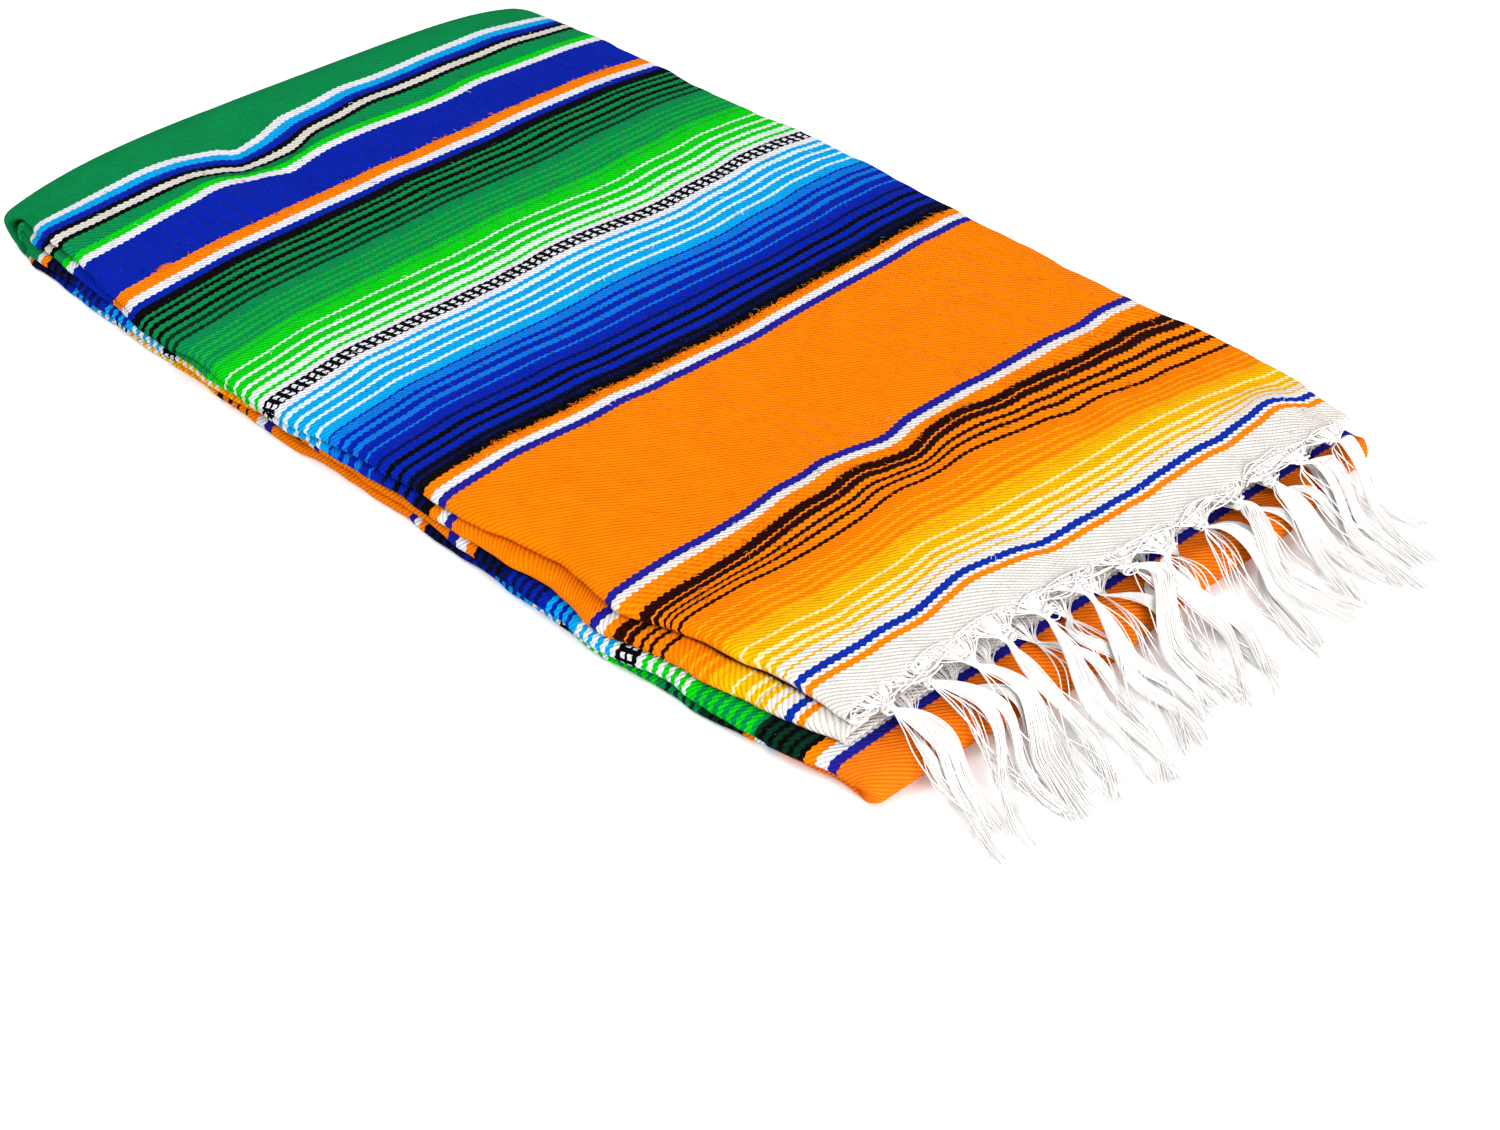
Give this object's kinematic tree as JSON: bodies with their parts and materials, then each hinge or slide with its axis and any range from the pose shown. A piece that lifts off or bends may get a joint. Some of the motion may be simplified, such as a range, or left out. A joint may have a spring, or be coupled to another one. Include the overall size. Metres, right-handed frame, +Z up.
{
  "type": "folded striped woven blanket with knotted fringes",
  "caption": "Folded stack of one striped woven blanket, with rolled layered edges, a back fold, a front fold and knotted white fringes lying over the front to the floor.",
  "frame": {"origin": "on the floor, under the middle of the whole outline, fringes included", "axes": "+Y runs along the folded strip to the back fold, so the fringed ends face -Y; +Z is up; the edge that shows in the picture faces -X"},
  "size_m": [0.3908, 0.725, 0.0387],
  "materials": {
    "striped_cloth": "weft-faced weave in stripes, matte with a brushed nap",
    "green_cloth": "weft-faced weave, matte with a brushed nap",
    "orange_cloth": "weft-faced weave, matte with a brushed nap",
    "white_warp": "matte twisted yarn"
  },
  "bodies": {
    "root": {"top_stretch": "striped_cloth", "back_fold": "green_cloth", "under_stretch": "striped_cloth", "front_fold": "orange_cloth", "third_stretch_left_edge": "striped_cloth", "third_stretch_right_edge": "striped_cloth", "second_stretch_left_edge": "striped_cloth", "second_stretch_right_edge": "striped_cloth", "second_hem": "striped_cloth", "hidden_layers": "striped_cloth", "top_fringe": "white_warp", "second_fringe": "white_warp"}
  },
  "joints": []
}
